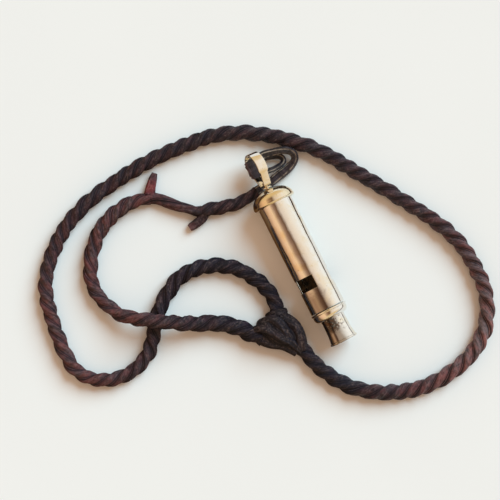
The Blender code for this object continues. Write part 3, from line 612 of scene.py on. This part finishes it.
def lathePiece(name, profile, count, material, body, replaces=(), place=onWhistle, closed=True, sharpAngle=35.0):
    # each point of the profile, (radius, station), goes round the axis: radius times (cos, sin) of the angle
    radius, station = np.array(profile, float).T
    angle = np.arange(count) * 2 * math.pi / count
    right = radius[:, None] * np.cos(angle)[None]
    up = radius[:, None] * np.sin(angle)[None]
    points = place(right, up, np.broadcast_to(station[:, None], right.shape))
    rings = () if closed else (np.arange(count), np.arange(count) + (len(radius) - 1) * count)
    return makePiece(name, points, gridFaces(len(radius), count, closed), material, body, replaces, rings,
                     None, sharpAngle)


def arcPoints(centre, radii, start, end, count):
    # an arc of an oval: centre + radii times (cos, sin), angles in degrees from the outward way
    angle = np.radians(np.linspace(start, end, count))
    return list(zip(centre[0] + radii[0] * np.cos(angle), centre[1] + radii[1] * np.sin(angle)))


barrelSettings = {"windowColumns": 40, "plainColumns": 56, "rows": (14, 10, 44), "bevel": 0.07 * mm}


def barrelPiece(name, s, material):
    # a tube as a grid of angle by station, outside and inside, less the cells of its two windows,
    # whose edges are joined across the wall; a window's sides lie on a plane, at acos(chord / radius)
    radii = (whistle["barrelRadius"], whistle["barrelRadius"] - whistle["wall"])
    rows = [np.linspace(a, b, n + 1)[:-1] for a, b, n in (
        (whistle["barrelFoot"], whistle["windowBottom"], s["rows"][0]),
        (whistle["windowBottom"], whistle["windowTop"], s["rows"][1]),
        (whistle["windowTop"], whistle["barrelTop"], s["rows"][2]))]
    station = np.concatenate([*rows, [whistle["barrelTop"]]])
    wide = s["windowColumns"]
    plain = s["plainColumns"]
    shells = []
    for radius in radii:
        half = math.acos(whistle["windowChord"] / radius)
        inWindow = np.linspace(-half, half, wide + 1)[:-1]
        between = np.linspace(half, math.pi - half, plain + 1)[:-1]
        angle = whistle["windowTurn"] + np.concatenate([inWindow, between, inWindow + math.pi, between + math.pi])
        grid = np.broadcast_to(angle[None], (len(station), len(angle)))
        shells.append(onWhistle(radius * np.cos(grid), radius * np.sin(grid),
                                np.broadcast_to(station[:, None], grid.shape)))
    count = 2 * (wide + plain)
    inner = len(station) * count
    low = s["rows"][0]
    high = low + s["rows"][1]
    cells = gridFaces(len(station), count)
    row = cells[:, 0] // count
    column = cells[:, 0] % count
    cut = (row >= low) & (row < high) & ((column % (wide + plain)) < wide)
    shell = cells[~cut]
    around = np.arange(count)
    after = (around + 1) % count
    top = (len(station) - 1) * count
    ends = [np.stack([around + k, after + k, after + k + inner, around + k + inner], axis=-1) for k in (0, top)]
    sides = []
    for start in (0, wide + plain):
        j = start + np.arange(wide)
        for r in (low, high):
            k = r * count
            sides.append(np.stack([j + k, (j + 1) % count + k, (j + 1) % count + k + inner, j + k + inner], axis=-1))
        i = np.arange(low, high) * count
        for c in (start, (start + wide) % count):
            sides.append(np.stack([i + c, i + count + c, i + count + c + inner, i + c + inner], axis=-1))
    faces = np.vstack([shell, shell + inner, *ends, *sides])
    piece = makePiece(name, np.concatenate([p.reshape(-1, 3) for p in shells]), faces, material, "whistle",
                      ["barrel"])
    bevel = piece.modifiers.new("edge", "BEVEL")
    bevel.width = s["bevel"]
    bevel.segments = 2
    bevel.limit_method = "ANGLE"
    bevel.angle_limit = math.radians(50)
    return piece


barrelPiece("barrel", barrelSettings, platedPaintedShadeAndGrime)

capSettings = {"bead": 1.0 * mm, "wall": 0.65 * mm, "skirt": 7.55 * mm, "bore": 1.0 * mm, "count": 192}


def topCapPiece(name, s, material):
    # dome as a quarter of an oval, a rolled bead round its widest place, and the same dome again inside
    edge = whistle["rimRadius"]
    station = whistle["rimStation"]
    height = whistle["domeHeight"]
    start = math.degrees(math.acos(s["bore"] / edge))
    dome = arcPoints((0.0, station + 0.25 * mm), (edge - 0.15 * mm, height - 0.25 * mm), start, 6.0, 34)
    bead = arcPoints((edge - s["bead"], station - 0.15 * mm), (s["bead"], s["bead"]), 22.0, -96.0, 18)
    lip = [(s["skirt"] + 0.12 * mm, station - 1.05 * mm), (s["skirt"], station - 0.9 * mm)]
    inner = arcPoints((0.0, station), (edge - s["wall"], height - s["wall"]),
                      math.degrees(math.acos(s["skirt"] / (edge - s["wall"]))),
                      math.degrees(math.acos(s["bore"] / (edge - s["wall"]))), 20)
    return lathePiece(name, dome + bead + lip + inner, s["count"], material, "whistle", ["top_cap"])


topCapPiece("topCap", capSettings, platedWarm)

collarSettings = {"bore": 1.0 * mm, "radius": 1.95 * mm, "foot": 26.42 * mm, "top": 26.97 * mm, "round": 0.38 * mm}
collarProfile = ([(collarSettings["bore"], collarSettings["foot"]), (collarSettings["radius"], collarSettings["foot"])]
                 + arcPoints((collarSettings["radius"] - collarSettings["round"], collarSettings["top"]
                              - collarSettings["round"] + 0.03 * mm),
                             (collarSettings["round"], collarSettings["round"] - 0.03 * mm), 0.0, 90.0, 8)
                 + [(collarSettings["bore"], collarSettings["top"])])
lathePiece("capCollar", collarProfile, 64, platedWarm, "whistle", ["cap_collar"])

mouthSettings = {"count": 160, "square": 2.6, "halfWidth": 5.35 * mm, "halfHeight": 3.45 * mm,
                 "endWidth": 5.86 * mm, "endHeight": 3.80 * mm, "wall": 0.5 * mm, "lip": 0.58 * mm,
                 "root": -30.0 * mm, "shoulder": -28.6 * mm, "shoulderEnd": -31.4 * mm}


def ovalRing(width, height, square, count):
    # |x / width|^p + |y / height|^p = 1, read at even angles and turned with the windows
    angle = np.arange(count) * 2 * math.pi / count
    reach = (np.abs(np.cos(angle) / width) ** square + np.abs(np.sin(angle) / height) ** square) ** (-1 / square)
    turned = angle + whistle["windowTurn"]
    return reach * np.cos(turned), reach * np.sin(turned)


def ringStack(rows, count):
    # rows of (width, height, power, station) made into rings of points, one under another
    rings = [ovalRing(w, h, p, count) for w, h, p, _ in rows]
    right = np.array([r[0] for r in rings])
    up = np.array([r[1] for r in rings])
    station = np.broadcast_to(np.array([row[3] for row in rows])[:, None], right.shape)
    return onWhistle(right, up, station)


def mouthpiecePiece(name, s, material):
    # oval tube, drawn in by a quarter sine and flared as t^4 towards the lip, where its wall turns over
    t = np.linspace(0.0, 1.0, 30)
    station = s["root"] + (whistle["mouthEnd"] + 0.9 * mm - s["root"]) * t
    width = s["halfWidth"] + (s["endWidth"] - s["halfWidth"]) * (t ** 4 - 0.25 * np.sin(math.pi * t))
    height = s["halfHeight"] + (s["endHeight"] - s["halfHeight"]) * (t ** 4 - 0.25 * np.sin(math.pi * t))
    outside = list(zip(width, height, np.full(30, s["square"]), station))
    turn = np.radians(np.linspace(80.0, -170.0, 16))
    middle = whistle["mouthEnd"] + s["lip"]
    lip = [(s["endWidth"] - 0.28 * mm + s["lip"] * math.cos(a), s["endHeight"] - 0.28 * mm + s["lip"] * math.cos(a),
            s["square"], middle + s["lip"] * math.sin(a)) for a in turn]
    inside = [(w - s["wall"], h - s["wall"], p, k) for w, h, p, k in outside[::-1]]
    points = ringStack(outside + lip + inside, s["count"])
    return makePiece(name, points, gridFaces(len(points), s["count"], True), material, "whistle",
                     ["mouthpiece"])


def mouthCapPiece(name, s, material):
    # ridge round the barrel's foot, then rings that change from the ridge's circle to the mouthpiece's oval
    edge = whistle["flangeRadius"]
    top = whistle["barrelFoot"] - 0.3 * mm
    ridge = [(r, r, 2.0, k) for r, k in [(edge - 0.75 * mm, top)]
             + arcPoints((edge - 0.45 * mm, top - 0.45 * mm), (0.45 * mm, 0.45 * mm), 90.0, -60.0, 14)]
    t = np.linspace(0.0, 1.0, 22)
    fall = np.sin(t * math.pi / 2)
    inwards = 1 - np.cos(t * math.pi / 2)
    width = (edge - 0.42 * mm) + (s["halfWidth"] + 0.3 * mm - edge + 0.42 * mm) * inwards
    height = (edge - 0.42 * mm) + (s["halfHeight"] + 0.3 * mm - edge + 0.42 * mm) * inwards
    station = s["shoulder"] + (s["shoulderEnd"] - s["shoulder"]) * fall
    power = 2.0 + (s["square"] - 2.0) * t
    shoulder = list(zip(width, height, power, station))
    inside = [(w - 0.1 * mm, h - 0.1 * mm, p, k + 0.55 * mm) for w, h, p, k in shoulder[::-1]]
    inside += [(edge - 0.95 * mm, edge - 0.95 * mm, 2.0, top - 0.4 * mm)]
    points = ringStack(ridge + shoulder + inside, s["count"])
    return makePiece(name, points, gridFaces(len(points), s["count"], True), material, "whistle",
                     ["mouth_cap"])


mouthpiecePiece("mouthpiece", mouthSettings, platedPaintedShadeAndGrime)
mouthCapPiece("mouthCap", mouthSettings, platedMetal)
print("barrel, caps and mouthpiece made")


loopSettings = {"foot": -8.7 * mm, "footHalf": 2.3 * mm, "thickness": 0.8 * mm, "eyeWidth": 4.2 * mm,
                "strapWidth": 3.2 * mm, "edge": 0.16 * mm, "step": 0.14 * mm}


def loopPiece(name, s, material):
    # the strip's middle line: an arc, two straight straps touching it and a flat foot, its corners averaged round;
    # its section is a rectangle with rounded edges, narrower on the straps
    radius = whistle["loopRadius"]
    reach = -s["foot"]
    distance = math.hypot(reach, s["footHalf"])
    slope = math.asin(radius / distance) - math.atan2(s["footHalf"], reach)
    start = math.pi / 2 + slope
    arc = np.linspace(start, -start, 120)
    middle = radius - s["thickness"] / 2
    eye = np.stack([middle * np.cos(arc), middle * np.sin(arc)], axis=1)
    foot = s["foot"] + s["thickness"] / 2
    footHalf = s["footHalf"] + (math.tan(slope) - 1 / math.cos(slope)) * s["thickness"] / 2
    corners = np.array([(foot, 0.0), (foot, footHalf)])
    outline = np.vstack([corners, eye, [(foot, -footHalf), (foot, 0.0)]])
    along = np.concatenate([[0.0], np.cumsum(np.linalg.norm(np.diff(outline, axis=0), axis=1))])
    at = np.linspace(0.0, along[-1], int(along[-1] / s["step"]))[:-1]
    line = np.stack([np.interp(at, along, outline[:, k]) for k in range(2)], axis=1)
    for _ in range(5):
        line = (np.roll(line, 1, axis=0) + line + np.roll(line, -1, axis=0)) / 3
    forward = np.roll(line, -1, axis=0) - np.roll(line, 1, axis=0)
    forward /= np.linalg.norm(forward, axis=1)[:, None]
    outward = np.stack([-forward[:, 1], forward[:, 0]], axis=1)
    width = s["strapWidth"] + (s["eyeWidth"] - s["strapWidth"]) * smoothStep(-3.6 * mm, -2.7 * mm, line[:, 0])
    corner = np.radians(np.linspace(0.0, 90.0, 5))
    e = s["edge"]
    quarter = np.stack([np.cos(corner), np.sin(corner)], axis=1) * e
    quarters = []
    for sx, sz, turned in ((1, 1, False), (-1, 1, True), (-1, -1, False), (1, -1, True)):
        piece = quarter * (sx, sz)
        quarters.append((sx, sz, piece[::-1] if turned else piece))
    right = np.hstack([sx * (width[:, None] / 2 - e) + piece[None, :, 0] for sx, sz, piece in quarters])
    out = np.hstack([np.full((len(line), 1), sz * (s["thickness"] / 2 - e)) + piece[None, :, 1]
                     for sx, sz, piece in quarters])
    station = line[:, None, 0] + out * outward[:, None, 0]
    up = line[:, None, 1] + out * outward[:, None, 1]
    points = onEye(right, up, station)
    return makePiece(name, points, gridFaces(*points.shape[:2], True), material, "loop",
                     ["loop_band"], sharpAngle=50.0)


loopPiece("loopBand", loopSettings, platedMetal)
footStation = loopSettings["foot"]
headFoot = footStation + 0.8 * mm + 0.3 * mm
rivetProfile = (arcPoints((0.0, headFoot), (1.3 * mm, 0.85 * mm), 88.0, 0.0, 14)
                + [(1.2 * mm, headFoot - 0.05 * mm), (0.7 * mm, headFoot - 0.05 * mm),
                   (0.7 * mm, -11.5 * mm), (1.3 * mm, -11.55 * mm), (1.25 * mm, -12.2 * mm), (0.2 * mm, -12.3 * mm)])
lathePiece("loopRivet", rivetProfile, 64, platedWarm, "loop", ["loop_rivet"], onEye, False)
for node in ("divider_plate", "windway_block_left", "windway_block_right", "short_chamber_stop", "long_chamber_stop",
             "rivet_washer"):
    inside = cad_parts[node]
    inside.data.materials.clear()
    inside.data.materials.append(dullBrass)
print("loop and rivet made")


knotSettings = {"centre": (-0.0220, -0.0269, 0.0048), "turn": -51.6, "half": (9.4 * mm, 5.2 * mm, 4.5 * mm),
                "folds": 5, "rows": 90, "columns": 120}
knotDye = [(0.0, "knotBlack"), (0.35, "strapBlack"), (0.7, "knotBlack"), (1.0, "knotBlack")]
knotStrand = {"columns": 48, "square": 2.5, "rough": 0.035, "groove": 0.06, "edge": 0.85, "dye": knotDye}
knotStrands = {
    "turn": {"route": [(-0.0188, -0.0190, 0.0034), (-0.0177, -0.0226, 0.0044), (-0.0159, -0.0264, 0.0050),
                       (-0.0151, -0.0304, 0.0050), (-0.0156, -0.0342, 0.0045), (-0.0161, -0.0377, 0.0038)],
             "width": [(0.0, 4.6 * mm), (0.45, 5.6 * mm), (0.8, 5.2 * mm), (1.0, 4.2 * mm)],
             "thickness": [(0.0, 4.6 * mm), (0.5, 7.0 * mm), (1.0, 5.2 * mm)],
             "lean": [(0.0, 0.0), (0.5, 24.0), (1.0, 0.0)], "seed": 1.9},
    "ridge": {"route": [(-0.0310, -0.0222, 0.0044), (-0.0279, -0.0225, 0.0060), (-0.0259, -0.0240, 0.0072),
                        (-0.0239, -0.0268, 0.0077), (-0.0219, -0.0297, 0.0076), (-0.0196, -0.0326, 0.0068),
                        (-0.0182, -0.0354, 0.0055), (-0.0174, -0.0378, 0.0042)],
              "width": [(0.0, 3.4 * mm), (0.5, 4.2 * mm), (1.0, 3.2 * mm)],
              "thickness": [(0.0, 3.2 * mm), (0.5, 4.2 * mm), (1.0, 3.4 * mm)],
              "lean": [(0.0, 0.0), (0.4, 14.0), (1.0, 0.0)], "seed": 4.3},
    "under": {"route": [(-0.0316, -0.0218, 0.0038), (-0.0306, -0.0244, 0.0038), (-0.0284, -0.0270, 0.0038),
                        (-0.0256, -0.0292, 0.0038), (-0.0226, -0.0317, 0.0038), (-0.0203, -0.0348, 0.0036),
                        (-0.0186, -0.0374, 0.0034)],
              "width": [(0.0, 4.2 * mm), (0.45, 5.8 * mm), (1.0, 4.2 * mm)],
              "thickness": [(0.0, 5.0 * mm), (0.5, 6.4 * mm), (1.0, 5.0 * mm)],
              "lean": [(0.0, 0.0), (0.5, -18.0), (1.0, 0.0)], "seed": 6.1},
    "fold": {"route": [(-0.0266, -0.0214, 0.0046), (-0.0240, -0.0210, 0.0060), (-0.0214, -0.0222, 0.0070),
                       (-0.0199, -0.0252, 0.0077), (-0.0193, -0.0286, 0.0076), (-0.0189, -0.0318, 0.0066)],
             "width": [(0.0, 3.4 * mm), (0.5, 4.6 * mm), (1.0, 3.4 * mm)],
             "thickness": [(0.0, 3.4 * mm), (0.5, 4.4 * mm), (1.0, 3.6 * mm)],
             "lean": [(0.0, 0.0), (0.5, 20.0), (1.0, 0.0)], "seed": 7.4},
    "collar": {"route": [(-0.0156, -0.0205, 0.0042), (-0.0172, -0.0203, 0.0056), (-0.0193, -0.0199, 0.0062),
                         (-0.0214, -0.0196, 0.0054), (-0.0226, -0.0194, 0.0038)],
               "width": [(0.0, 2.6 * mm), (0.5, 3.4 * mm), (1.0, 2.8 * mm)],
               "thickness": [(0.0, 2.8 * mm), (0.5, 2.6 * mm), (1.0, 2.8 * mm)],
               "seed": 9.2}}


def knotHeart(name, s, material):
    # an oval ball, |x|^2 + |y|^2 + |z|^2 = 1 in its half sizes, swelling and shrinking in folds that wind round it;
    # it fills the space under the knot's strands
    u = np.linspace(0.0, math.pi, s["rows"])[1:-1, None]
    v = np.arange(s["columns"])[None] * 2 * math.pi / s["columns"]
    fold = (s["folds"] * (v + 1.3 * u)) / (2 * math.pi) % 1.0 * 2 - 1
    swell = 0.94 + 0.10 * np.sqrt(np.clip(1 - fold ** 2, 0, 1)) * np.sin(u)
    x = s["half"][0] * np.cos(u) * np.ones_like(v)
    y = s["half"][1] * np.sin(u) * np.cos(v) * swell
    z = s["half"][2] * np.sin(u) * np.sin(v) * swell
    turn = math.radians(s["turn"])
    points = np.stack([s["centre"][0] + x * math.cos(turn) - y * math.sin(turn),
                       s["centre"][1] + x * math.sin(turn) + y * math.cos(turn), s["centre"][2] + z], axis=-1)
    points[..., 2] = np.maximum(points[..., 2], 0.00002)
    shape = points.shape[:2]
    # across puts painted seam shade between the folds and the pale, partly painted highlight on their crests
    values = {"across": fold, "along": x / mm, "strand": np.zeros(shape),
              "dye": np.broadcast_to(linear(leatherColours["knotBlack"]), (*shape, 3))}
    rings = [np.arange(s["columns"]), np.arange(s["columns"]) + (shape[0] - 1) * s["columns"]]
    return makePiece(name, points, gridFaces(*shape), material, "lanyard", ["sliding_knot"], rings, values)


knotPieces = [knotHeart("knotHeart", knotSettings, wornLeather)]
for part, settings in knotStrands.items():
    wound = flatThong("knot" + part.capitalize(), {**knotStrand, **settings}, wornLeather, "lanyard",
                      ["sliding_knot"])
    knotPieces.append(wound[0])
print("knot tied")


studioSettings = {"floorSize": 6.0, "floorTone": (0.86, 0.86, 0.86), "keyPower": 3.55, "keyColour": (0.58, 0.87, 1.0),
                  "keyPlace": (2.25, 0.80, 1.85), "keySize": 0.72,
                  "fill": (1.0, 0.68, 0.46), "fillStrength": 0.62, "leftGloss": (0.16, 0.09, 0.045)}
skyStops = [(-180, (150, 120, 95)), (-105, (120, 80, 50)), (-66, (240, 195, 155)), (-48, (250, 210, 165)),
            (-27, (165, 130, 105)), (-7, (110, 80, 60)), (9, (230, 210, 190)), (34, (250, 235, 215)),
            (80, (255, 255, 250)), (180, (230, 225, 215))]


def makeStudio(s, stops):
    world = bpy.data.worlds.new("studio")
    bpy.context.scene.world = world
    world.use_nodes = True
    tree = world.node_tree
    background = tree.nodes["Background"]
    wire = Wire(tree)
    way = wire.node("TexCoord", None, None, 0)
    x, y, z = (wire.node("SeparateXYZ", None, {0: way}, k) for k in range(3))
    turn = wire.maths("ARCTAN2", x, z) / (2 * math.pi) + 0.5
    shades = [((degrees + 180) / 360, tuple(linear(colour))) for degrees, colour in stops]
    band = turn.node("ValToRGB", {"stops": shades}, {0: turn})
    ends = abs(y).between(0.40, 0.90)
    gloss = ends.mixed(band, tuple(linear((228, 200, 152))))
    isGlossy = wire.node("LightPath", None, None, "Is Glossy Ray")
    isCamera = wire.node("LightPath", None, None, "Is Camera Ray")
    fill = tuple(c * s["fillStrength"] for c in s["fill"])
    mixed = isGlossy.mixed(fill, gloss)
    seen = isCamera.mixed(mixed, (0.86, 0.86, 0.85))
    tree.links.new(seen.socket, background.inputs["Color"])
    light = bpy.data.lights.new("keyLight", "SUN")
    light.energy = s["keyPower"]
    light.color = s["keyColour"]
    light.angle = s["keySize"]
    key = bpy.data.objects.new("keyLight", light)
    bpy.context.scene.collection.objects.link(key)
    key.visible_glossy = False
    key.location = s["keyPlace"]
    key.rotation_euler = (Vector((-0.02, 0.0, 0.0)) - Vector(s["keyPlace"])).to_track_quat("-Z", "Y").to_euler()


def makeFloor(s):
    half = s["floorSize"] / 2
    mesh = bpy.data.meshes.new("floor")
    mesh.from_pydata([(-half, -half, 0), (half, -half, 0), (half, half, 0), (-half, half, 0)], [], [(0, 1, 2, 3)])
    floor = bpy.data.objects.new("floor", mesh)
    bpy.context.scene.collection.objects.link(floor)
    material, shader, wire, place = newMaterial("palePaper")
    cloud = place.noise(9.0, 3.0, 0.5)
    paper = cloud.between(0.3, 0.7).mixed(s["floorTone"], tuple(c * 0.985 for c in s["floorTone"]))
    # painted reflection: to glossy rays only, the floor left of the whistle turns dark brown, standing in for the
    # shaded floor and dark surroundings the metal mirrors on its left
    sideways = wire.node("SeparateXYZ", None, {0: place})
    leftReflectionMask = wire.node("LightPath", None, None, "Is Glossy Ray") * sideways.between(-0.007, -0.011)
    feed(shader, "Base Color", leftReflectionMask.mixed(paper, s["leftGloss"]))
    shader.inputs["Roughness"].default_value = 0.9
    shader.inputs["Specular IOR Level"].default_value = 0.1
    mesh.materials.append(material)


makeStudio(studioSettings, skyStops)
makeFloor(studioSettings)
print("studio lit")
